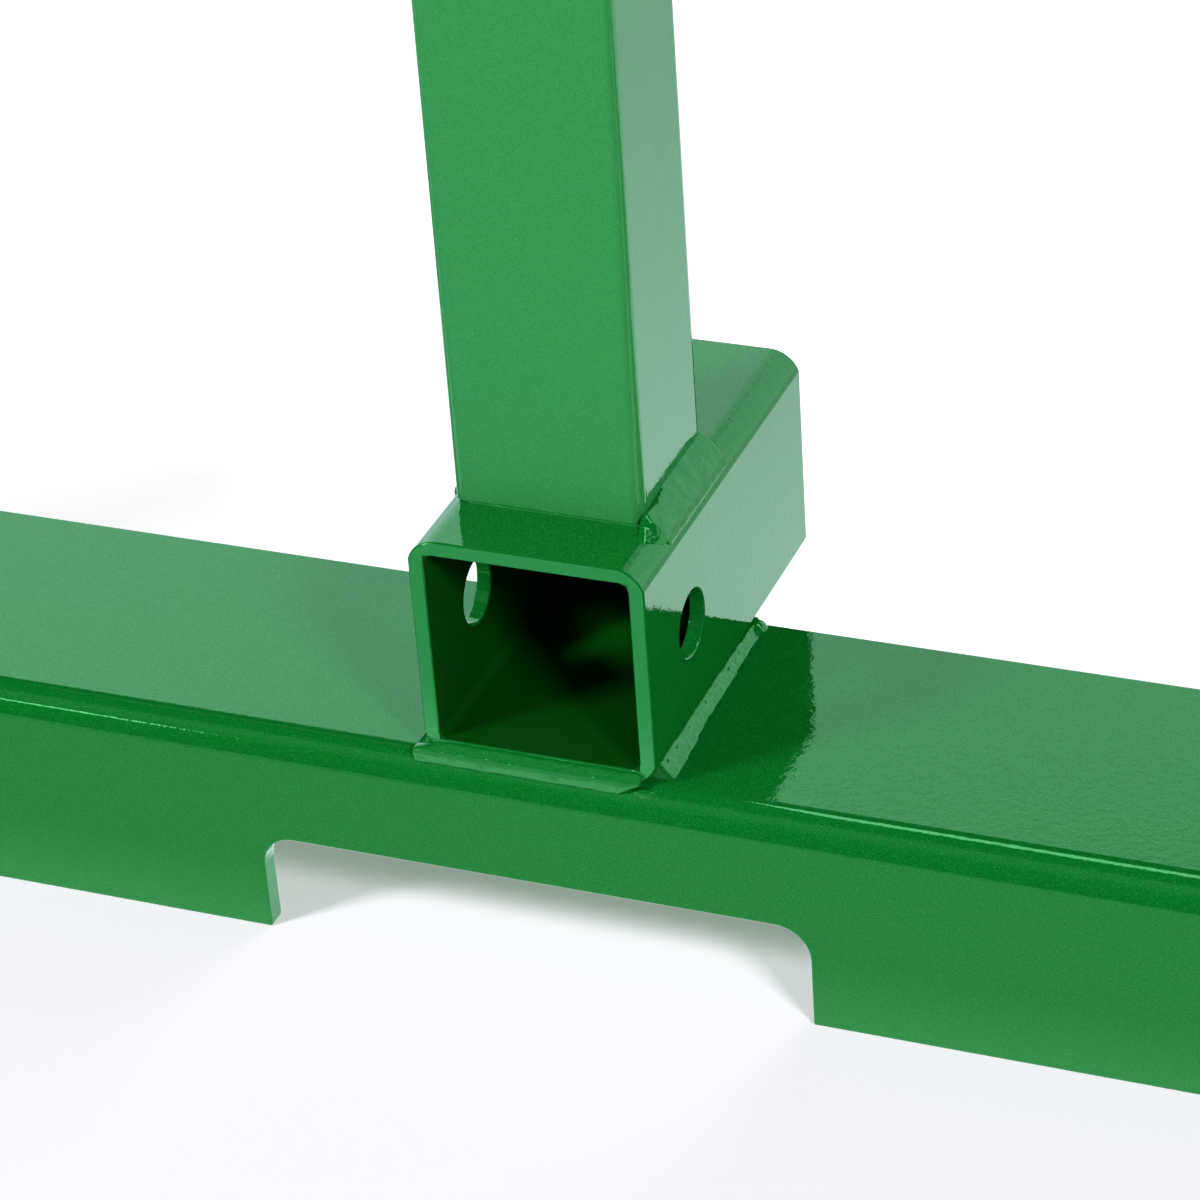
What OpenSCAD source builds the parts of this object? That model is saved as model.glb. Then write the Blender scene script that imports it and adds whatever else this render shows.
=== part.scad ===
// Pallet fork frame for a front loader: folded rails, posts, a receiver tube and two loader brackets.
// X runs along the rails, Y to the rear and Z up. The origin is on the ground under the frame's middle.

/* [Rails] */
// Length of each rail, between its end plates
rail_len = 1058; // [1020:1:1400]
// Depth of the flat leg, from front to rear
rail_depth = 82; // [78:0.5:95]
// Height of the front leg
rail_height = 59; // [54:0.5:75]
// Thickness of the folded plate
rail_t = 6; // [4:0.5:8]
// Inside radius of the fold
fold_r = 1.5; // [1:0.5:4]
// Height over both rails
carriage_height = 407; // [390:1:510]

/* [Centre notch] */
// Width of the notch that lets a fork's lower hook through
notch_w = 145; // [110:1:200]
// Height of the notch
notch_h = 28; // [20:0.5:36]
// Radius of its upper corners
notch_r = 9; // [4:0.5:14]
// Shift of its middle to the right
notch_shift = -3.5; // [-10:0.5:10]

/* [Locating notches] */
// Width of each notch in the top edge
locate_w = 14; // [10:0.5:20]
// Depth of each notch
locate_depth = 14; // [10:0.5:20]
// Middle of the frame to the first notch
locate_first = 110; // [80:1:125]
// Distance from one notch to the next
locate_pitch = 95; // [50:1:100]
// Number of notches on each side
locate_count = 5; // [1:1:5]

/* [Receiver] */
// Outside size of the square tube
receiver_size = 60; // [54:0.5:76]
// Wall of the tube
receiver_t = 4; // [3:0.5:6]
// Outside radius of its corners
receiver_corner_r = 8; // [6:0.5:10]
// Depth by which its flat sides cut those rounds
receiver_side_cut = 0.45; // [0.05:0.05:0.6]
// Inside radius of its corners
receiver_inner_r = 2.5; // [1:0.5:3]
// Length of the tube
receiver_len = 112; // [95:1:160]
// Rail's front to the mouth
receiver_setback = 5; // [4:0.5:12]
// Thickness of the plate that closes its rear end
receiver_end_t = 4; // [3:0.5:8]
// Diameter of the cross pin hole
pin_hole_d = 17; // [10:0.5:20]
// Mouth to the middle of the cross pin hole
pin_hole_setback = 29; // [20:0.5:50]
// Foot of the receiver to the middle of the cross pin hole
pin_hole_rise = 29; // [20:0.5:36]

/* [Posts] */
// Width of the rectangular tube
post_w = 49; // [40:0.5:50]
// Depth of the tube, from front to rear
post_d = 40; // [30:0.5:50]
// Wall of the tube
post_t = 3.5; // [2:0.5:5]
// Outside radius of its corners
post_corner_r = 3; // [2:0.5:5]
// Inside radius of its corners
post_inner_r = 0.5; // [0.5:0.5:2]
// Receiver's mouth to the front of every post
post_setback = 20; // [14:0.5:24]
// Shift of the centre post to the right
centre_post_shift = -1.5; // [-2:0.5:2]
// Middle of the frame to the middle of a side post
side_post_x = 335; // [250:1:450]

/* [Loader brackets] */
// Thickness of the hook plates
hook_plate_t = 10; // [6:0.5:16]
// Post's front to the front edge of a hook plate
hook_plate_lap = 6; // [5:0.5:12]
// Rail's front to the rear edge of a plate's spine
spine_depth = 108; // [100:1:112]
// Diameter of the loader's cross bar
loader_bar_d = 32; // [25:0.5:40]
// Room between the bar and its slot, on each side
loader_bar_room = 1.5; // [0.5:0.5:3]
// Plate around the bar's slot
hook_wall = 20; // [12:1:26]
// Rail's front to the middle of the bar
hook_reach = 150; // [145:1:170]
// Depth of the hook below the middle of the bar
hook_throat = 34; // [20:1:50]
// Height of the hook's crown over the plate's top edge
crown_rise = 4; // [1:0.5:8]
// Slot's mouth down to the foot of the slope under it
hook_slope = 60; // [30:1:70]
// Diameter of the loader pin's bore
loader_pin_d = 26; // [16:0.5:30]
// Rail's front to the middle of the loader pin
pin_reach = 140; // [130:1:150]
// Ground to the middle of the loader pin
pin_rise = 48; // [42:1:60]
// Plate around the pin bush
lobe_wall = 13; // [10:1:18]
// Loader pin up to the top of the slope over it
lobe_slope = 95; // [70:1:110]
// Radius of the foot's rear corner
foot_r = 12; // [4:1:15]
// Size of the bevel at the foot's front corner
foot_bevel = 14; // [4:1:20]
// Gap between the foot and the rail's rear edge
foot_gap = 1; // [0.5:0.5:3]

/* [Bushes, tie plates and end plates] */
// Wall of the pin bush
bush_wall = 7; // [4:0.5:8]
// Length of the bush that stands proud of each plate
bush_proud = 4; // [3:0.5:8]
// Radial gap between the bush and its holes
bush_gap = 0.2; // [0.1:0.1:0.4]
// Thickness of the tie plates
tie_t = 6; // [4:0.5:10]
// Spine's rear edge to the tie plate
tie_setback = 4; // [3:0.5:8]
// Gap between the tie plate and each end of the spine's straight edge
tie_margin = 8; // [0:1:16]
// Thickness of the end plates
end_plate_t = 6; // [4:0.5:10]
// Width of an end plate's narrow edges
end_plate_lip = 14; // [10:0.5:24]

/* [Welds] */
// Width of the beads along the receiver's foot, on the rail
foot_bead_w = 3.4; // [2:0.1:5]
// Height of those beads on the receiver's rounded corner
foot_bead_rise = 4.5; // [3:0.1:5]
// Radius of their hollow face
foot_bead_r = 9; // [6:0.5:20]
// Rail's rear edge to the end of those beads
foot_bead_stop = 1.5; // [1:0.5:10]
// Receiver's mouth to the front face of the bead across it
mouth_bead_reach = 2.7; // [1.5:0.1:3.5]
// Height of that bead's front face over the rail
mouth_bead_rise = 1.6; // [0.5:0.1:2.5]
// Receiver's left side to the bead's left end
mouth_bead_lap = 2.5; // [1:0.1:4]
// Receiver's right side to the bead's right end
mouth_bead_stop = 6; // [2:0.5:12]
// Height of the centre post's right weld on the post
right_bead_rise = 4; // [2:0.1:5]
// Height of its left weld on the post
left_bead_rise = 2; // [1:0.1:4]
// Radius of the face of those welds
post_bead_r = 16; // [10:1:18]
// Leg of the fillets on its front and rear faces
post_seam = 1; // [0.5:0.5:3]
// Leg of the fillets at the posts' other ends
post_fillet = 2.5; // [1.5:0.5:4]
// Leg of the fillets on the brackets
bracket_fillet = 3; // [2:0.5:4]
// Length of each stitch along a hook plate
stitch_len = 45; // [20:1:60]
// Number of stitches along a hook plate
stitch_count = 3; // [1:1:3]

/* [Hidden] */
$fn = 64;
eps = 1; // how far a cutter runs past what it cuts
arc_steps = 16; // flats along an arc of an outline
fillet_hollow = 2.2; // radius of a fillet's face for each unit of its leg
paint = "#2c9048";
weld_paint = "#4fae68";

fold_out = fold_r + rail_t; // outside radius of the fold
upper_seat = carriage_height - rail_height; // underside of the upper rail's flat leg

post_front = receiver_setback + post_setback;
receiver_top = rail_height + receiver_size;
receiver_rear = receiver_setback + receiver_len;

slot_r = loader_bar_d / 2 + loader_bar_room;
hook_out_r = slot_r + hook_wall;
hook_rise = upper_seat + crown_rise - hook_out_r; // ground to the middle of the bar
hook_mouth = hook_rise - hook_throat;
bush_d = loader_pin_d + 2 * bush_wall;
lobe_r = bush_d / 2 + lobe_wall;
plate_front = post_front + hook_plate_lap;
foot_front = rail_depth + foot_gap;
foot_rear = pin_reach + lobe_r;
spine_low = pin_rise + lobe_slope;
spine_high = hook_mouth - hook_slope;

overall_depth = max(hook_reach + hook_out_r, foot_rear, receiver_rear);
front_y = -overall_depth / 2; // Y of the rails' front faces

// Draws an outline given in Y and Z, of thickness t, from x towards +X
module side_plate(x, t) {
    translate([x, front_y, 0]) rotate([90, 0, 90]) linear_extrude(t) children();
}

// Draws an outline given in X and Z, from y to y + len behind the rails' front
module front_prism(y, len) {
    translate([0, front_y + y + len, 0]) rotate([90, 0, 0]) linear_extrude(len) children();
}

// Draws an outline given in X and Y behind the rails' front, from z upwards
module upright(z, len) {
    translate([0, front_y, z]) linear_extrude(len) children();
}

// What rounding takes off a corner at the origin, where the solid lies in +X and +Y
module corner_waste(r) {
    difference() {
        translate([-eps, -eps]) square(r + eps);
        translate([r, r]) circle(r = r);
    }
}

module rounded_rect(w, d, r) {
    square([w - 2 * r, d], center = true);
    square([w, d - 2 * r], center = true);
    for (x = [-1, 1], y = [-1, 1])
        translate([x * (w / 2 - r), y * (d / 2 - r)]) circle(r = r);
}

// Section of a fillet weld in the corner at the origin, with a slightly hollow face
module fillet_section(leg) {
    difference() {
        polygon([[0, 0], [leg, 0], [0, leg]]);
        translate([2 * leg, 2 * leg]) circle(r = fillet_hollow * leg);
    }
}

// The lower rail's section: front leg, fold and flat leg
module rail_section() {
    square([rail_t, rail_height - fold_out]);
    translate([fold_out, rail_height - rail_t]) square([rail_depth - fold_out, rail_t]);
    translate([fold_out, rail_height - fold_out]) intersection() {
        difference() {
            circle(r = fold_out);
            circle(r = fold_r);
        }
        translate([-fold_out, 0]) square(fold_out);
    }
}

module rail() {
    side_plate(-rail_len / 2, rail_len) rail_section();
}

// Puts a lower piece on the upper rail, upside down
module turned_over() {
    translate([0, 0, carriage_height]) mirror([0, 0, 1]) children();
}

module mirrored_sides() {
    children();
    mirror([1, 0, 0]) children();
}

module centre_notch_outline() {
    translate([notch_shift, 0]) {
        translate([-notch_w / 2, -eps]) square([notch_w, notch_h - notch_r + eps]);
        translate([-notch_w / 2 + notch_r, -eps]) square([notch_w - 2 * notch_r, notch_h + eps]);
        for (side = [-1, 1])
            translate([side * (notch_w / 2 - notch_r), notch_h - notch_r]) circle(r = notch_r);
    }
}

module locating_notch_outline() {
    translate([0, carriage_height - locate_depth + locate_w / 2]) {
        circle(d = locate_w);
        translate([-locate_w / 2, 0]) square([locate_w, locate_depth]);
    }
}

module lower_rail() {
    color(paint) difference() {
        rail();
        front_prism(-eps, rail_t + 2 * eps) centre_notch_outline();
    }
}

module upper_rail() {
    color(paint) difference() {
        turned_over() rail();
        for (side = [-1, 1], i = [0 : locate_count - 1])
            front_prism(-eps, rail_t + 2 * eps)
                translate([side * (locate_first + i * locate_pitch), 0]) locating_notch_outline();
    }
}

// The flat sides meet the rounded corners in a faint crease
module receiver_outline() {
    translate([0, rail_height + receiver_size / 2]) intersection() {
        rounded_rect(receiver_size + 2 * receiver_side_cut, receiver_size, receiver_corner_r);
        square(receiver_size, center = true);
    }
}

module receiver_inside() {
    inside = receiver_size - 2 * receiver_t;
    translate([0, rail_height + receiver_size / 2]) rounded_rect(inside, inside, receiver_inner_r);
}

module receiver() {
    color(paint) difference() {
        front_prism(receiver_setback, receiver_len) receiver_outline();
        front_prism(receiver_setback - eps, receiver_len + 2 * eps) receiver_inside();
        translate([0, front_y + receiver_setback + pin_hole_setback, rail_height + pin_hole_rise])
            rotate([0, 90, 0]) cylinder(d = pin_hole_d, h = receiver_size + 2 * eps, center = true);
    }
}

// Lies inside the tube, flush with its rear end
module receiver_end_plate() {
    color(paint) front_prism(receiver_rear - receiver_end_t, receiver_end_t) receiver_inside();
}

module post(x, low, high) {
    upright(low, high - low) translate([x, post_front + post_d / 2]) difference() {
        rounded_rect(post_w, post_d, post_corner_r);
        rounded_rect(post_w - 2 * post_t, post_d - 2 * post_t, post_inner_r);
    }
}

module centre_post() {
    color(paint) post(centre_post_shift, receiver_top, upper_seat);
}

module left_post() {
    color(paint) post(-side_post_x, rail_height, upper_seat);
}

module right_post() {
    color(paint) post(side_post_x, rail_height, upper_seat);
}

// Points along an arc about c, from angle a to angle b
function arc(c, r, a, b) =
    [for (i = [0 : arc_steps]) let (at = a + (b - a) * i / arc_steps) c + r * [cos(at), sin(at)]];

// Angle about c at which a line from point p touches a circle of radius r, on its rear side
function touch_angle(p, c, r) = atan2(p[1] - c[1], p[0] - c[0]) - acos(r / norm(p - c));

// Runs from the rail round the foot, the pin's lobe, the spine and the hook, and back over the top
module hook_plate_outline() {
    pin = [pin_reach, pin_rise];
    bar = [hook_reach, hook_rise];
    slope_top = [spine_depth, spine_low];
    tip_r = hook_wall / 2;
    difference() {
        polygon(concat(
            [[plate_front, rail_height], [foot_front, rail_height], [foot_front, foot_bevel],
                [foot_front + foot_bevel, 0]],
            arc([foot_rear - foot_r, foot_r], foot_r, -90, 0),
            arc(pin, lobe_r, 0, touch_angle(slope_top, pin, lobe_r)),
            [slope_top, [spine_depth, spine_high], [hook_reach - slot_r, hook_mouth]],
            arc(bar, slot_r, 180, 0),
            arc([hook_reach + slot_r + tip_r, hook_mouth], tip_r, 180, 360),
            arc(bar, hook_out_r, 0, 180 - asin((upper_seat - hook_rise) / hook_out_r)),
            [[plate_front, upper_seat]]
        ));
        translate(pin) circle(d = bush_d + 2 * bush_gap);
    }
}

// Right-hand bracket's plates; side is 1 for the outer one and -1 for the inner one
module hook_plate(side) {
    x = side_post_x + side * (post_w + hook_plate_t) / 2;
    color(paint) side_plate(x - hook_plate_t / 2, hook_plate_t) hook_plate_outline();
}

module left_outer_hook_plate() mirror([1, 0, 0]) hook_plate(1);
module left_inner_hook_plate() mirror([1, 0, 0]) hook_plate(-1);
module right_inner_hook_plate() hook_plate(-1);
module right_outer_hook_plate() hook_plate(1);

bracket_w = post_w + 2 * hook_plate_t; // over both hook plates
bush_len = bracket_w + 2 * bush_proud;

module right_pin_bush() {
    color(paint) translate([side_post_x, front_y + pin_reach, pin_rise]) rotate([0, 90, 0]) difference() {
        cylinder(d = bush_d, h = bush_len, center = true);
        cylinder(d = loader_pin_d, h = bush_len + 2 * eps, center = true);
    }
}

module left_pin_bush() mirror([1, 0, 0]) right_pin_bush();

tie_rear = spine_depth - tie_setback;
tie_low = spine_low + tie_margin;
tie_high = spine_high - tie_margin;

module right_tie_plate() {
    color(paint) translate([side_post_x - post_w / 2, front_y + tie_rear - tie_t, tie_low])
        cube([post_w, tie_t, tie_high - tie_low]);
}

module left_tie_plate() mirror([1, 0, 0]) right_tie_plate();

module end_plate_outline() {
    difference() {
        polygon([[0, 0], [end_plate_lip, 0], [rail_depth, rail_height - end_plate_lip],
            [rail_depth, rail_height], [0, rail_height]]);
        translate([0, rail_height]) mirror([0, 1]) corner_waste(fold_out);
    }
}

module lower_right_end_plate() {
    color(paint) side_plate(rail_len / 2, end_plate_t) end_plate_outline();
}

module lower_left_end_plate() mirror([1, 0, 0]) lower_right_end_plate();
module upper_right_end_plate() turned_over() lower_right_end_plate();
module upper_left_end_plate() turned_over() lower_left_end_plate();

// X of the receiver's rounded right corner at a height z over its foot
function corner_x(z) = min(receiver_size / 2, receiver_size / 2 + receiver_side_cut - receiver_corner_r
    + sqrt(receiver_corner_r ^ 2 - (receiver_corner_r - z) ^ 2));

// Middle of the circle of radius r through p and q, to the left on the way from p to q
function arc_middle(p, q, r) =
    (p + q) / 2 + [p[1] - q[1], q[0] - p[0]] / norm(q - p) * sqrt(r ^ 2 - norm(q - p) ^ 2 / 4);

// Beads that fill the grooves under the receiver's lower corners
module receiver_side_welds() {
    root = [receiver_size / 2 - receiver_corner_r, 0];
    toe = [receiver_size / 2 + foot_bead_w, 0];
    top = [corner_x(foot_bead_rise), foot_bead_rise];
    color(weld_paint) mirrored_sides()
        front_prism(receiver_setback, rail_depth - foot_bead_stop - receiver_setback) difference() {
            translate([0, rail_height]) difference() {
                polygon([root, toe, top, [root[0], foot_bead_rise]]);
                translate(arc_middle(top, toe, foot_bead_r)) circle(r = foot_bead_r);
            }
            receiver_outline();
        }
}

// Bead across the end of the receiver's floor, on the rail's fold
module receiver_front_weld() {
    left = -receiver_size / 2 - mouth_bead_lap;
    right = receiver_size / 2 - mouth_bead_stop;
    shoulder = rail_height + mouth_bead_rise;
    floor_top = rail_height + receiver_t;
    face = receiver_setback - mouth_bead_reach;
    color(weld_paint) intersection() {
        side_plate(left, right - left) difference() {
            polygon([[face, rail_height - fold_out], [receiver_setback, rail_height - fold_out],
                [receiver_setback, floor_top], [face, shoulder]]);
            translate([fold_out, rail_height - fold_out]) circle(r = fold_out);
        }
        front_prism(0, receiver_setback)
            polygon([[left, 0], [right, 0], [right, floor_top],
                [receiver_corner_r - receiver_size / 2, floor_top], [left, shoulder]]);
    }
}

// Weld from the receiver's right crease up to a rise on the post's side, which stands at x
module post_side_bead(x, rise) {
    crease_z = receiver_size - receiver_corner_r
        + sqrt(receiver_corner_r ^ 2 - (receiver_corner_r - receiver_side_cut) ^ 2);
    low = [receiver_size / 2, crease_z];
    high = [x, receiver_size + rise];
    difference() {
        translate([0, rail_height]) intersection() {
            polygon([high, [x, crease_z], low, [low[0], high[1]]]);
            translate(arc_middle(low, high, post_bead_r)) circle(r = post_bead_r);
        }
        receiver_outline();
    }
}

// Side welds lie on the receiver's rounded corners, and thin seams on its flat top
module centre_post_foot_weld() {
    run = receiver_size - 2 * receiver_corner_r;
    color(weld_paint) {
        front_prism(post_front, post_d)
            post_side_bead(post_w / 2 + centre_post_shift, right_bead_rise);
        mirror([1, 0, 0]) front_prism(post_front + post_corner_r, post_d - 2 * post_corner_r)
            post_side_bead(post_w / 2 - centre_post_shift, left_bead_rise);
        for (side = [0, 1])
            translate([0, front_y + post_front + post_d / 2, receiver_top]) mirror([0, side, 0])
                translate([-run / 2, post_d / 2, 0]) rotate([90, 0, 90]) linear_extrude(run)
                    fillet_section(post_seam);
    }
}

// Fillets on the front and rear faces of a post's top end, against the upper rail
module post_top_fillets(x) {
    run = post_w - 2 * post_corner_r;
    for (side = [0, 1])
        translate([x, front_y + post_front + post_d / 2, upper_seat]) mirror([0, side, 0])
            translate([-run / 2, post_d / 2, 0]) rotate([90, 0, 90]) linear_extrude(run)
                mirror([0, 1]) fillet_section(post_fillet);
}

module centre_post_top_weld() {
    run = post_d - 2 * post_corner_r;
    color(weld_paint) {
        post_top_fillets(centre_post_shift);
        for (side = [-1, 1])
            front_prism(post_front + post_corner_r, run)
                translate([centre_post_shift + side * post_w / 2, upper_seat])
                    mirror([side > 0 ? 0 : 1, 0]) mirror([0, 1]) fillet_section(post_fillet);
    }
}

module right_post_welds() {
    color(weld_paint) {
        post_top_fillets(side_post_x);
        translate([0, 0, rail_height + upper_seat]) mirror([0, 0, 1]) post_top_fillets(side_post_x);
    }
}

module left_post_welds() mirror([1, 0, 0]) right_post_welds();

// Stitches up the plates' front edges, fillets at their feet and beside the tie plate
module right_hook_welds() {
    stitch_step = (upper_seat - rail_height) / stitch_count;
    color(weld_paint) translate([side_post_x, 0, 0]) mirrored_sides() {
        for (i = [0 : stitch_count - 1])
            upright(rail_height + (i + 0.5) * stitch_step - stitch_len / 2, stitch_len)
                translate([post_w / 2, plate_front]) mirror([0, 1]) fillet_section(bracket_fillet);
        front_prism(plate_front, rail_depth - plate_front)
            translate([bracket_w / 2, rail_height]) fillet_section(bracket_fillet);
        upright(tie_low, tie_high - tie_low)
            translate([post_w / 2, tie_rear]) mirror([1, 0]) fillet_section(bracket_fillet);
    }
}

module left_hook_welds() mirror([1, 0, 0]) right_hook_welds();

// A ring on each proud end of the bush
module right_bush_welds() {
    color(weld_paint) translate([side_post_x, front_y + pin_reach, pin_rise]) mirrored_sides()
        translate([bracket_w / 2, 0, 0]) rotate([0, 90, 0]) rotate_extrude()
            translate([bush_d / 2, 0]) fillet_section(bracket_fillet);
}

module left_bush_welds() mirror([1, 0, 0]) right_bush_welds();

// Fillets inside the fold, against the end plates
module lower_end_welds() {
    color(weld_paint) mirrored_sides() {
        front_prism(fold_out, rail_depth - fold_out - bracket_fillet)
            translate([rail_len / 2, rail_height - rail_t]) mirror([1, 0]) mirror([0, 1])
                fillet_section(bracket_fillet);
        upright(bracket_fillet, rail_height - fold_out - bracket_fillet)
            translate([rail_len / 2, rail_t]) mirror([1, 0]) fillet_section(bracket_fillet);
    }
}

module upper_end_welds() turned_over() lower_end_welds();

lower_rail();
upper_rail();
receiver();
receiver_end_plate();
centre_post();
left_post();
right_post();
left_outer_hook_plate();
left_inner_hook_plate();
right_inner_hook_plate();
right_outer_hook_plate();
left_pin_bush();
right_pin_bush();
left_tie_plate();
right_tie_plate();
lower_left_end_plate();
lower_right_end_plate();
upper_left_end_plate();
upper_right_end_plate();
receiver_side_welds();
receiver_front_weld();
centre_post_foot_weld();
centre_post_top_weld();
left_post_welds();
right_post_welds();
left_hook_welds();
right_hook_welds();
left_bush_welds();
right_bush_welds();
lower_end_welds();
upper_end_welds();
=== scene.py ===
from math import degrees, radians

import bpy
from mathutils import Matrix, Vector


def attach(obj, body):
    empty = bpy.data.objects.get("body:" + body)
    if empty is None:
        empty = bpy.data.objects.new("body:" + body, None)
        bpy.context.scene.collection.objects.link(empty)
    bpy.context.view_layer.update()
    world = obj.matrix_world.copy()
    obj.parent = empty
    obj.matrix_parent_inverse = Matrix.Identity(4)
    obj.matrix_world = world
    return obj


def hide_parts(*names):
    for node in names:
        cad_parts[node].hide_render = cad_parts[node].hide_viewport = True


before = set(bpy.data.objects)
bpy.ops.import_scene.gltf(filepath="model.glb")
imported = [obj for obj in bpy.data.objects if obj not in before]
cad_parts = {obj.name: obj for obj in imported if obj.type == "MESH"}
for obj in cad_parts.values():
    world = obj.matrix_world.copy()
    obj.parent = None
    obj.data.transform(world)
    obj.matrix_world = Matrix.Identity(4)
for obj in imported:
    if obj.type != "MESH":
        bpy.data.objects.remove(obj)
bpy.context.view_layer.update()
print("frame loaded:", len(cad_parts), "nodes")


def clearSelection():
    bpy.ops.object.select_all(action="DESELECT")
    bpy.context.view_layer.objects.active = None


clearSelection()

# camera, at the height and angle of the photograph
photoView = {
    "place": (0.35237, -0.85942, 0.62262),  # metres
    "turn": 23.397,  # degrees to the left of straight ahead
    "downTilt": 31.406,
    "roll": -4.232,
    "lens": 126.31,  # mm
    "sensor": 36,
    "clip": (0.01, 60),
}


def addCamera(s):
    bpy.ops.object.camera_add(location=s["place"])
    cam = bpy.context.object
    cam.name = "photoCamera"
    turn = Matrix.Rotation(radians(s["turn"]), 4, "Z")
    tilt = Matrix.Rotation(radians(90 - s["downTilt"]), 4, "X")
    roll = Matrix.Rotation(radians(s["roll"]), 4, "Z")
    cam.matrix_world = Matrix.Translation(s["place"]) @ turn @ tilt @ roll
    cam.data.lens = s["lens"]
    cam.data.sensor_width = s["sensor"]
    cam.data.clip_start, cam.data.clip_end = s["clip"]
    bpy.context.scene.camera = cam


addCamera(photoView)
print("camera placed")


def feed(socket, value):
    if isinstance(value, Wire):
        value.tree.links.new(value.value, socket)
    else:
        socket.default_value = value


# shader maths written as plain expressions
class Wire:
    def __init__(self, tree, value):
        self.tree = tree
        self.value = value

    def math(self, operation, *others):
        node = self.tree.nodes.new("ShaderNodeMath")
        node.operation = operation
        for socket, value in zip(node.inputs, (self, *others)):
            feed(socket, value)
        return Wire(self.tree, node.outputs[0])

    def __add__(self, other):
        return self.math("ADD", other)

    def __radd__(self, other):
        return self.math("ADD", other)

    def __sub__(self, other):
        return self.math("SUBTRACT", other)

    def __rsub__(self, other):
        return self.math("MULTIPLY_ADD", -1.0, other)

    def __mul__(self, other):
        return self.math("MULTIPLY", other)

    def __rmul__(self, other):
        return self.math("MULTIPLY", other)

    def __neg__(self):
        return self.math("MULTIPLY", -1.0)

    def other(self, name):
        return Wire(self.tree, self.value.node.outputs[name])

    def between(self, low, high):
        return ((self - low) * (1 / (high - low))).math("MAXIMUM", 0.0).math("MINIMUM", 1.0)


class Shader:
    def __init__(self, tree):
        self.tree = tree
        tree.nodes.clear()

    def node(self, kind, settings=None, output=0, **sockets):
        node = self.tree.nodes.new(kind)
        for name, value in (settings or {}).items():
            setattr(node, name, value)
        for name, value in sockets.items():
            socket = next(x for x in node.inputs if x.name.replace(" ", "") == name and x.enabled)
            feed(socket, value)
        return Wire(self.tree, node.outputs[output]) if node.outputs else None

    def mixColour(self, share, low, high):
        settings = {"data_type": "RGBA", "clamp_factor": False}
        return self.node("ShaderNodeMix", settings, 2, Factor=share, A=low, B=high)


def newMaterial(name):
    material = bpy.data.materials.new(name)
    material.use_nodes = True
    return material, Shader(material.node_tree)


# gloss powder coat with a fine metallic fleck and a faint orange peel
greenCoat = {
    "deep": (0.0015, 0.225, 0.023, 1),
    "fleck": (0.030, 0.370, 0.080, 1),
    "metallic": 0.30,
    "roughness": 0.05,
    "peelSize": 500,  # waves per metre
    "peelDepth": 0.38,
    "peelReach": 0.0001,
    "peelDetail": 2.0,
    "fleckSize": 3500,
    "fleckDetail": 1.0,
    "fleckShare": (0.52, 0.78),
    "ior": 1.5,
}
# paler on the posts: a painted sheen, standing in for the haze of light that their front faces show,
# given to all of each post
postSheenCoat = greenCoat | {
    "deep": (0.042, 0.335, 0.092, 1),
    "fleck": (0.070, 0.440, 0.140, 1),
    "metallic": 0.1,
}
# inside the receiver the colour is darker, a painted shade in the tube, and on its cut rim it is paler, a
# painted sheen
receiverCoat = greenCoat | {
    "halfWidth": 0.0261,  # of the tube's inside
    "middle": 0.089,  # of its height
    "mouth": -0.0887,
    "thin": (0.0018, 0.100, 0.0055, 1),
    "deepInside": (0.0028, 0.150, 0.0090, 1),
    "deepReach": (-0.063, -0.030),
    "pale": (0.042, 0.400, 0.105, 1),
    "roughInside": 0.55,
    "plateRear": 0.0225,
}
# paler on the faces of the beads that look forward: a painted sheen, standing in for the haze of light on
# front faces
weldCoat = greenCoat | {
    "front": (0.80, 0.97),
    "pale": (0.036, 0.340, 0.082, 1),
    "peelSize": 260,
    "peelDepth": 0.4,
}


def powderCoat(name, s):
    material, sh = newMaterial(name)
    place = sh.node("ShaderNodeTexCoord").other("Object")
    fleck = sh.node("ShaderNodeTexNoise", Vector=place, Scale=s["fleckSize"], Detail=s["fleckDetail"])
    colour = sh.mixColour(fleck.between(*s["fleckShare"]), s["deep"], s["fleck"])
    roughness = s["roughness"]
    if "mouth" in s:
        parts = sh.node("ShaderNodeSeparateXYZ", Vector=place)
        across, along, up = parts.other("X"), parts.other("Y"), parts.other("Z")
        offMiddle = across.math("ABSOLUTE").math("MAXIMUM", (up - s["middle"]).math("ABSOLUTE"))
        hidden = 1 - offMiddle.math("GREATER_THAN", s["halfWidth"])
        # the cut rim gets the pale colour: a painted sheen, standing in for the haze of light on this
        # front face
        rim = along.math("LESS_THAN", s["mouth"])
        hidden = hidden * along.math("LESS_THAN", s["plateRear"])
        # painted shade inside the tube: darkest near the mouth, where the lamps' light falls in, less
        # dark deeper in
        inside = sh.mixColour(along.between(*s["deepReach"]), s["thin"], s["deepInside"])
        colour = sh.mixColour(hidden, sh.mixColour(rim, colour, s["pale"]), inside)
        roughness = s["roughness"] + hidden * (s["roughInside"] - s["roughness"])
    # faces that look forward get the pale colour: a painted sheen
    if "front" in s:
        facing = sh.node("ShaderNodeNewGeometry").other("Normal")
        forward = -sh.node("ShaderNodeSeparateXYZ", Vector=facing).other("Y")
        colour = sh.mixColour(forward.between(*s["front"]), colour, s["pale"])
    peel = sh.node("ShaderNodeTexNoise", Vector=place, Scale=s["peelSize"], Detail=s["peelDetail"])
    normal = sh.node("ShaderNodeBump", Height=peel, Strength=s["peelDepth"], Distance=s["peelReach"])
    skin = sh.node(
        "ShaderNodeBsdfPrincipled",
        BaseColor=colour,
        Metallic=s["metallic"],
        Roughness=roughness,
        Normal=normal,
        IOR=s["ior"],
    )
    sh.node("ShaderNodeOutputMaterial", Surface=skin)
    return material


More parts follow.
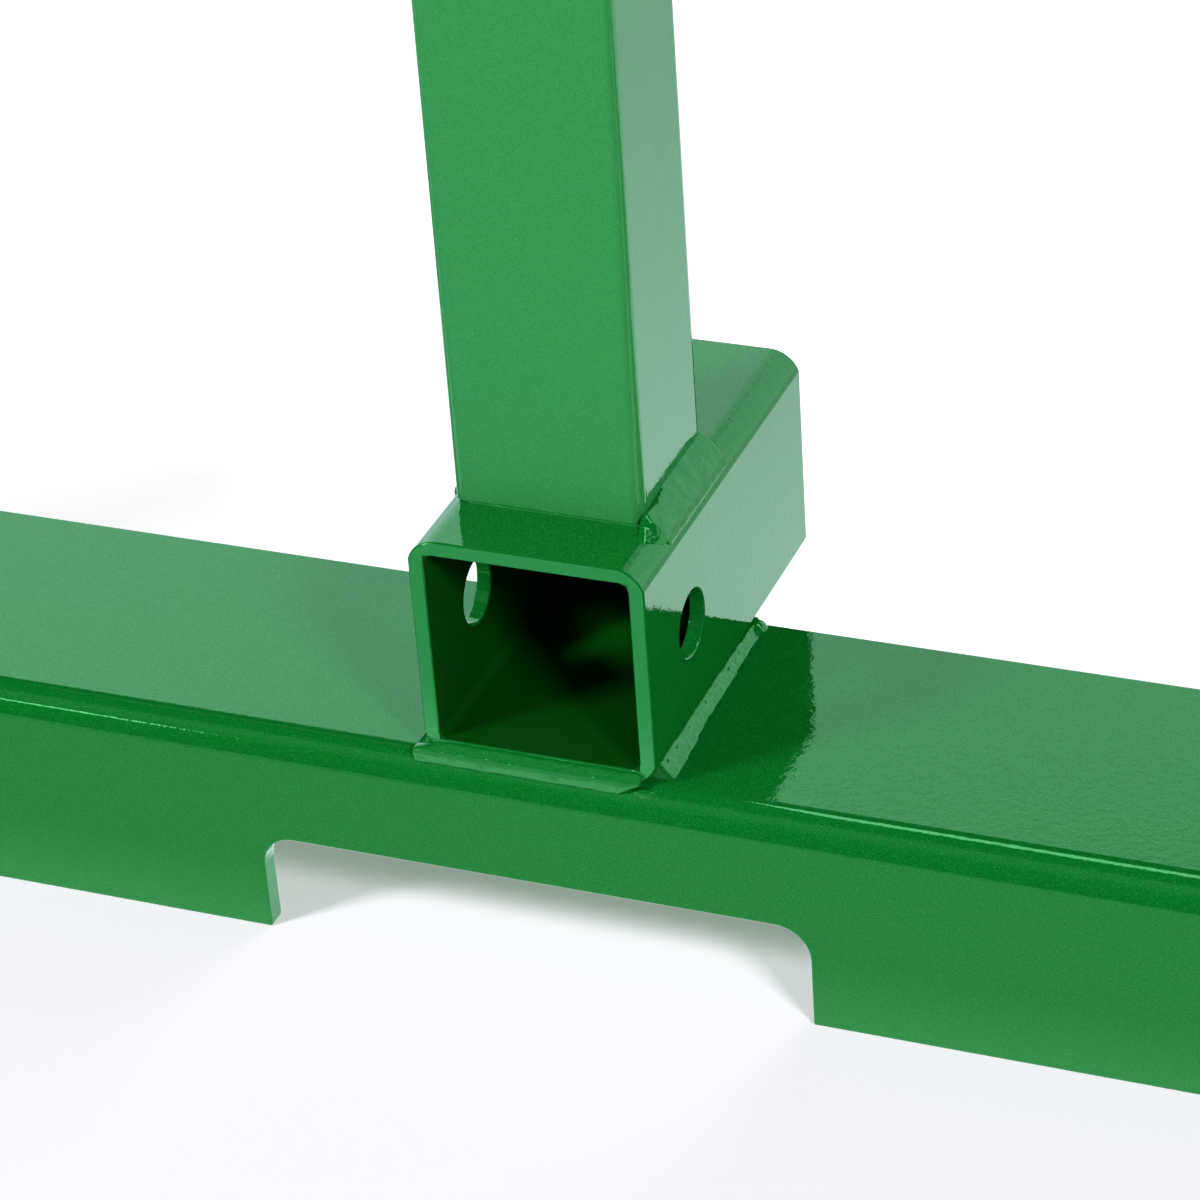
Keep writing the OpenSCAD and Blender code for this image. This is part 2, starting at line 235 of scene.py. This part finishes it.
coat = powderCoat("green powder coat", greenCoat)
coatByNode = dict.fromkeys(("receiver", "receiver_end_plate"), powderCoat("receiver coat", receiverCoat))
coatByNode |= dict.fromkeys(("centre_post", "left_post", "right_post"), powderCoat("post coat with painted sheen", postSheenCoat))
for nodeName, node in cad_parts.items():
    node.data.materials.clear()
    node.data.materials.append(coatByNode.get(nodeName, coat))
print("paint mixed")


# selects the vertices that pass a test, and stays in edit mode
def pick(part, test):
    bpy.ops.object.mode_set(mode="EDIT")
    bpy.ops.mesh.select_mode(type="VERT")
    bpy.ops.mesh.select_all(action="DESELECT")
    bpy.ops.object.mode_set(mode="OBJECT")
    for point in part.data.vertices:
        point.select = test(point.co)
    bpy.ops.object.mode_set(mode="EDIT")


# adds a modifier and applies it
def finish(part, kind, settings):
    modifier = part.modifiers.new(kind.lower(), kind)
    for name, value in settings.items():
        setattr(modifier, name, value)
    bpy.ops.object.modifier_apply(modifier=modifier.name)


# receiver tube, with its rounded corners cut a little by its flat sides
receiverTube = {
    "size": 0.060,
    "wall": 0.004,
    "front": -0.08875,
    "rear": 0.02325,
    "foot": 0.059,
    "corner": 0.008,
    "sideCut": 0.00045,
    "innerCorner": 0.0025,
    "segments": 10,
    "spare": 0.01,  # that the bore's tool is longer at each end
    "hole": {"radius": 0.0085, "y": -0.05975, "z": 0.088, "sides": 96, "depth": 0.1},
    "edge": 0.0006,
    "edgeSegments": 4,
    "edgeAngle": 40,
    "smoothAngle": 14,
    "flatWeight": 100,
}


def addLongBox(name, width, height, front, rear, middle, corner, segments):
    clearSelection()
    bpy.ops.mesh.primitive_cube_add(size=1, location=(0, (front + rear) / 2, middle))
    part = bpy.context.object
    part.name = name
    part.scale = (width, rear - front, height)
    bpy.ops.object.transform_apply(location=True, rotation=False, scale=True)
    bpy.ops.object.mode_set(mode="EDIT")
    bpy.ops.mesh.select_mode(type="EDGE")
    bpy.ops.mesh.select_all(action="DESELECT")
    bpy.ops.object.mode_set(mode="OBJECT")
    for edge in part.data.edges:
        a, b = (part.data.vertices[i].co for i in edge.vertices)
        edge.select = abs(a.y - b.y) > (rear - front) / 2
    bpy.ops.object.mode_set(mode="EDIT")
    bpy.ops.mesh.bevel(offset=corner, segments=segments, offset_type="OFFSET")
    bpy.ops.object.mode_set(mode="OBJECT")
    return part


def cutAway(part, tool):
    clearSelection()
    part.select_set(True)
    bpy.context.view_layer.objects.active = part
    finish(part, "BOOLEAN", {"operation": "DIFFERENCE", "solver": "EXACT", "object": tool})
    bpy.data.objects.remove(tool, do_unlink=True)


def addReceiver(s):
    middle = s["foot"] + s["size"] / 2
    bore = s["size"] - 2 * s["wall"]
    width = s["size"] + 2 * s["sideCut"]
    ends = (s["front"], s["rear"])
    tube = addLongBox("receiver_tube", width, s["size"], *ends, middle, s["corner"], s["segments"])
    for side in (-1, 1):
        bpy.ops.object.mode_set(mode="EDIT")
        bpy.ops.mesh.select_all(action="SELECT")
        place = (side * s["size"] / 2, 0, 0)
        bpy.ops.mesh.bisect(plane_co=place, plane_no=(side, 0, 0), use_fill=True, clear_outer=True)
        bpy.ops.object.mode_set(mode="OBJECT")
    ends = (s["front"] - s["spare"], s["rear"] + s["spare"])
    cutAway(tube, addLongBox("bore", bore, bore, *ends, middle, s["innerCorner"], s["segments"]))
    hole = s["hole"]
    clearSelection()
    bpy.ops.mesh.primitive_cylinder_add(
        vertices=hole["sides"],
        radius=hole["radius"],
        depth=hole["depth"],
        location=(0, hole["y"], hole["z"]),
        rotation=(0, radians(90), 0),
    )
    cutAway(tube, bpy.context.object)
    limit = {"limit_method": "ANGLE", "angle_limit": radians(s["edgeAngle"]), "use_clamp_overlap": False}
    finish(tube, "BEVEL", limit | {"width": s["edge"], "segments": s["edgeSegments"]})
    bpy.ops.object.shade_smooth_by_angle(angle=radians(s["smoothAngle"]))
    finish(tube, "WEIGHTED_NORMAL", {"keep_sharp": True, "weight": s["flatWeight"]})
    tube.data.materials.clear()
    tube.data.materials.append(coatByNode["receiver"])
    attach(tube, "root")
    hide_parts("receiver")


addReceiver(receiverTube)
print("receiver cut")

# weld beads, from the solids that lie in their place
weldPaint = powderCoat("weld coat", weldCoat)
bead = {
    "merge": 0.00001,
    "voxel": 0.0007,
    "swell": 0.0004,
    "rounds": 4,
    "ease": 0.5,
    "lump": 0.0006,
    "lumpSize": 0.0035,
    "lumpDepth": 1,
}
closeBead = bead | {"voxel": 0.0004, "rounds": 6, "swell": 0.0005, "lump": 0.0004, "lumpSize": 0.0040}
footBead = closeBead | {
    "frontEnd": -0.0885,  # all points of the front end lie in front of this
    "rearEnd": -0.0135,  # and all of the rear end behind this
    "start": 0.0040,  # of the right one, from the mouth of the receiver
    "root": (0.0290, 0.0600),  # X and Z of the line that the bead narrows to
    "narrow": 0.62,
    "stop": (0.0300, -0.0162, 0.0598),  # middle of the last drop
    "drop": 0.0030,
    "squash": (0.9, 1.0, 0.75),
    "inward": 0.0003,
    "lump": 0.00036,
    "lumpSize": 0.0026,
}
mouthBead = closeBead | {
    "rightEnd": (0.0235, 0.0602),  # X that its points lie beyond, and Z between the low and the high ones
    "endLow": -0.0030,
    "endHigh": 0.0028,
    "spill": (0.0272, -0.0900, 0.0576),
    "spillSize": 0.0022,
    "squash": (1.5, 0.55, 0.4),
    "settle": (0, 0.0003, -0.0003),
}
postBead = closeBead | {
    "frontEnd": -0.0685,
    "full": -0.0560,  # at its full height from here back
    "edge": (0.0215, 0.0232, 0.1205),  # X from and to, and Z over, of the right one's upper edge
    "tip": (-0.0018, 0, 0.0015),  # its upper edge runs on into the post
    "droop": (-0.0004, 0, -0.0026),
    "rightFrom": 0.0200,
    "reach": 0.0110,
    "fade": (0.0258, 0.1148),  # X and Z of the point that its front end narrows to
    "shrink": 0.25,
    "outer": 0.0240,
    "inward": 0.0003,
    "low": (0.0230, 0.1203),  # X and Z that all points of the thin front one lie under
    "seam": (0, 0.0005, -0.0004),
    "leftEnd": (-0.0240, -0.0600),  # X and Y that the front end of the left one lies beyond
    "leftStart": (0, 0.0050, 0),
    "rounds": 9,
    "swell": 0.0005,
    "lump": 0.0005,
    "lumpSize": 0.0050,
}
dropMesh = {"segments": 24, "ring_count": 12}


def addDrop(place, size, squash):
    bpy.ops.mesh.primitive_uv_sphere_add(radius=size, location=place, **dropMesh)
    bpy.ops.transform.resize(value=squash, center_override=place)


def shapeFootBead(part, s):
    pick(part, lambda p: p.y < s["frontEnd"] and p.x > 0)
    bpy.ops.transform.translate(value=(0, s["start"], 0))
    for side in (-1, 1):
        x, z = s["root"]
        pick(part, lambda p: p.y > s["rearEnd"] and p.x * side > 0)
        bpy.ops.transform.resize(value=(s["narrow"], 1, s["narrow"]), center_override=(side * x, 0, z))
        x, y, z = s["stop"]
        addDrop((side * x, y, z), s["drop"], s["squash"])
        pick(part, lambda p: p.x * side > 0)
        bpy.ops.transform.translate(value=(-side * s["inward"], 0, -s["inward"]))


def shapeMouthBead(part, s):
    x, z = s["rightEnd"]
    pick(part, lambda p: p.x > x and p.z < z)
    bpy.ops.transform.translate(value=(s["endLow"], 0, 0))
    pick(part, lambda p: p.x > x and p.z > z)
    bpy.ops.transform.translate(value=(s["endHigh"], 0, 0))
    bpy.ops.mesh.select_all(action="DESELECT")
    addDrop(s["spill"], s["spillSize"], s["squash"])
    bpy.ops.mesh.select_all(action="SELECT")
    bpy.ops.transform.translate(value=s["settle"])


def shapePostBead(part, s):
    bpy.ops.mesh.select_all(action="SELECT")
    bpy.ops.mesh.bisect(plane_co=(0, s["full"], 0), plane_no=(0, 1, 0))
    innerX, outerX, edgeZ = s["edge"]
    pick(part, lambda p: innerX < p.x < outerX and p.y > s["frontEnd"])
    bpy.ops.transform.translate(value=s["tip"])
    pick(part, lambda p: innerX < p.x < outerX and p.y < s["frontEnd"] and p.z > edgeZ)
    bpy.ops.transform.translate(value=s["droop"])
    pick(part, lambda p: p.y < s["frontEnd"] and p.x > s["rightFrom"])
    bpy.ops.mesh.select_mode(type="FACE")
    x, z = s["fade"]
    bpy.ops.mesh.extrude_region_move(TRANSFORM_OT_translate={"value": (0, -s["reach"], 0)})
    bpy.ops.transform.resize(value=(s["shrink"], 1, s["shrink"]), center_override=(x, 0, z))
    pick(part, lambda p: p.x > s["outer"] or p.x > s["rightFrom"] and p.z > edgeZ)
    bpy.ops.transform.translate(value=(-s["inward"], 0, -s["inward"]))
    x, z = s["low"]
    pick(part, lambda p: p.y < s["frontEnd"] and p.x < x and p.z < z)
    bpy.ops.transform.translate(value=s["seam"])
    x, y = s["leftEnd"]
    pick(part, lambda p: p.x < x and p.y < y)
    bpy.ops.transform.translate(value=s["leftStart"])


def layBead(nodeName, s, shape=None):
    clearSelection()
    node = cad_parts[nodeName]
    node.select_set(True)
    bpy.context.view_layer.objects.active = node
    bpy.ops.object.duplicate()
    part = bpy.context.object
    part.name = nodeName + "_beads"
    bpy.ops.object.mode_set(mode="EDIT")
    bpy.ops.mesh.select_all(action="SELECT")
    bpy.ops.mesh.remove_doubles(threshold=s["merge"])
    if shape:
        shape(part, s)
    bpy.ops.object.mode_set(mode="OBJECT")
    finish(part, "REMESH", {"mode": "VOXEL", "voxel_size": s["voxel"]})
    finish(part, "DISPLACE", {"strength": s["swell"], "mid_level": 0})
    finish(part, "SMOOTH", {"factor": s["ease"], "iterations": s["rounds"]})
    lumps = bpy.data.textures.new(part.name, "CLOUDS")
    lumps.noise_scale = s["lumpSize"]
    lumps.noise_depth = s["lumpDepth"]
    finish(part, "DISPLACE", {"texture": lumps, "strength": s["lump"], "mid_level": 0.5})
    bpy.ops.object.shade_smooth()
    part.data.materials.clear()
    part.data.materials.append(weldPaint)
    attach(part, "root")
    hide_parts(nodeName)
    return len(part.data.polygons)


closeBeads = {
    "receiver_side_welds": (footBead, shapeFootBead),
    "receiver_front_weld": (mouthBead, shapeMouthBead),
    "centre_post_foot_weld": (postBead, shapePostBead),
}
plainNodes = {name: node for name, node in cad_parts.items() if "weld" not in name}
plainNodes.pop("receiver")
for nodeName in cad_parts:
    if "weld" in nodeName:
        print("bead", nodeName, layBead(nodeName, *closeBeads.get(nodeName, (bead,))))
print("beads laid")

# rounded edges under the coat
edgeRound = {"merge": 0.00001, "flat": 0.5, "width": 0.0006, "segments": 3, "angle": 30}


def roundEdges(part, s):
    weld = part.modifiers.new("merge", "WELD")
    weld.merge_threshold = s["merge"]
    flat = part.modifiers.new("flats", "DECIMATE")
    flat.decimate_type = "DISSOLVE"
    flat.angle_limit = radians(s["flat"])
    bevel = part.modifiers.new("round", "BEVEL")
    bevel.width = s["width"]
    bevel.segments = s["segments"]
    bevel.limit_method = "ANGLE"
    bevel.angle_limit = radians(s["angle"])
    bevel.harden_normals = True


for node in plainNodes.values():
    roundEdges(node, edgeRound)
print("edges rounded")

# white sweep under the frame
floorSheet = {
    "size": 12,
    "bounce": (0.80, 0.80, 0.80, 1),
    "seen": (1.05, 0.98, 1.09, 1),
    "lift": (0.15, 0.85),  # white added for the camera, in front of the frame and behind it
    "liftReach": (0.00, 0.12),
    "farReach": (0.45, 0.95),  # all white from here on
    "mirrored": (0.93, 1.10, 1.20, 1),  # what the gloss of the paint shows of it
    "behindLevel": (1.36, 0.85),  # close behind the frame and further off
    "behindReach": (0.12, 0.42),
    "frontLevel": 0.62,
    "frontReach": (-0.20, -0.17),
    "middleReach": (-0.12, -0.08),  # where the front's mirrored light gives way to the back's
    "black": (0, 0, 0, 1),
    "white": (1, 1, 1, 1),
}
secondMirror = (1.4, 1.6)  # glossy depth from here on


# colour by what looks at it: soft light, a first reflection, a reflection in a reflection or the camera
def byRay(sh, ray, soft, mirrored, twice, seen):
    gloss = ray.other("Is Glossy Ray") + ray.other("Is Transmission Ray")
    again = ray.other("Glossy Depth").between(*secondMirror)
    colour = sh.mixColour(gloss, soft, sh.mixColour(again, mirrored, twice))
    return sh.mixColour(ray.other("Is Camera Ray"), colour, seen)


def addFloor(s):
    clearSelection()
    bpy.ops.mesh.primitive_plane_add(size=s["size"], location=(0, 0, 0))
    floor = bpy.context.object
    floor.name = "floor"
    material, sh = newMaterial("floor sheet")
    ray = sh.node("ShaderNodeLightPath")
    place = sh.node("ShaderNodeTexCoord").other("Object")
    along = sh.node("ShaderNodeSeparateXYZ", Vector=place).other("Y")
    near, far = s["behindLevel"]
    behind = near - along.between(*s["behindReach"]) * (near - far)
    front = along.between(*s["frontReach"]) * s["frontLevel"]
    atBack = along.between(*s["middleReach"])
    mirrored = sh.mixColour(behind * atBack + front * (1 - atBack), s["black"], s["mirrored"])
    low, high = s["lift"]
    away = sh.node("ShaderNodeVectorMath", {"operation": "LENGTH"}, Vector=place).other("Value")
    lift = low + along.between(*s["liftReach"]) * (high - low)
    lift = sh.mixColour(lift.math("MAXIMUM", away.between(*s["farReach"])), s["black"], s["white"])
    matt = byRay(sh, ray, s["bounce"], s["black"], s["black"], s["seen"])
    added = byRay(sh, ray, s["black"], mirrored, s["black"], lift)
    sheet = sh.node("ShaderNodeBsdfDiffuse", Color=matt)
    glow = sh.node("ShaderNodeEmission", Color=added)
    both = sh.node("ShaderNodeAddShader")
    for socket, light in zip(both.value.node.inputs, (sheet, glow)):
        feed(socket, light)
    sh.node("ShaderNodeOutputMaterial", Surface=both)
    floor.data.materials.append(material)


addFloor(floorSheet)
print("floor laid")

# plain soft studio: pale all round, darker overhead and in front, with lamps that show in the gloss
# a lamp there is a band by degrees up from straight ahead over the top, and a reach along X
studio = {
    "ambient": (0.08, 0.08, 0.08, 1),
    "white": (1.07, 1.27, 1.50, 1),
    "dark": (0.014, 0.014, 0.014, 1),
    "seen": (1, 1, 1, 1),
    "darkOver": (0.56, 0.66),  # height of a direction, where the pale surround ends
    "paleBehind": (-0.10, 0.15),  # and its Y, where it starts
    "leftGain": 0.2,
    "leftReach": (-0.23, -0.45),
    "bands": {
        "rightStrip": {"from": (105, 107), "to": (116, 118), "reach": (-0.31, -0.28), "strength": 2.8},
        "leftStrip": {"from": (28, 30), "to": (32, 34), "reach": (-0.422, -0.452), "strength": 5.0},
        "frontGlow": {"from": (26, 52), "to": (68, 71), "reach": (0.9, 0.8), "strength": 0.2},
        "leftGlow": {"from": (106, 108), "to": (112, 114), "reach": (-0.30, -0.33), "strength": 0.16},
    },
}


def addWorld(s):
    world = bpy.data.worlds.new("studio")
    world.use_nodes = True
    bpy.context.scene.world = world
    sh = Shader(world.node_tree)
    direction = sh.node("ShaderNodeTexCoord").other("Generated")
    parts = sh.node("ShaderNodeSeparateXYZ", Vector=direction)
    across, along, up = parts.other("X"), parts.other("Y"), parts.other("Z")
    low = 1 - up.between(*s["darkOver"])
    gain = 1 + s["leftGain"] * across.between(*s["leftReach"])
    surround = low * along.between(*s["paleBehind"]) * gain
    turn = up.math("ARCTAN2", -along) * degrees(1)
    for band in s["bands"].values():
        shine = turn.between(*band["from"]) * (1 - turn.between(*band["to"]))
        surround = surround + shine * across.between(*band["reach"]) * band["strength"]
    gloss = sh.mixColour(surround, s["dark"], s["white"])
    ray = sh.node("ShaderNodeLightPath")
    colour = byRay(sh, ray, s["ambient"], gloss, s["dark"], s["seen"])
    back = sh.node("ShaderNodeBackground", Color=colour, Strength=1.0)
    sh.node("ShaderNodeOutputWorld", Surface=back)


addWorld(studio)

# hidden from the gloss, which shows the bands of the studio instead
lamps = {
    "leftBox": {"place": (-1.305, -1.305, 1.30), "aim": (0, 0, 0.1), "size": (0.4, 0.4), "power": 28},
    "rightBox": {"place": (1.377, -1.231, 1.30), "aim": (0, 0, 0.1), "size": (0.4, 0.4), "power": 25},
    "rearBox": {"place": (0.60, 1.80, 0.60), "aim": (0, 0, 0.2), "size": (1.2, 0.6), "power": 12},
}


def addLamp(name, s):
    clearSelection()
    bpy.ops.object.light_add(type="AREA", location=s["place"])
    lamp = bpy.context.object
    lamp.name = name
    lamp.rotation_euler = (Vector(s["aim"]) - Vector(s["place"])).to_track_quat("-Z", "Y").to_euler()
    lamp.data.shape = "RECTANGLE"
    lamp.data.size, lamp.data.size_y = s["size"]
    lamp.data.energy = s["power"]
    lamp.visible_glossy = False


for lampName, lampSettings in lamps.items():
    addLamp(lampName, lampSettings)
print("studio lit")

bpy.context.scene.view_settings.view_transform = "Standard"
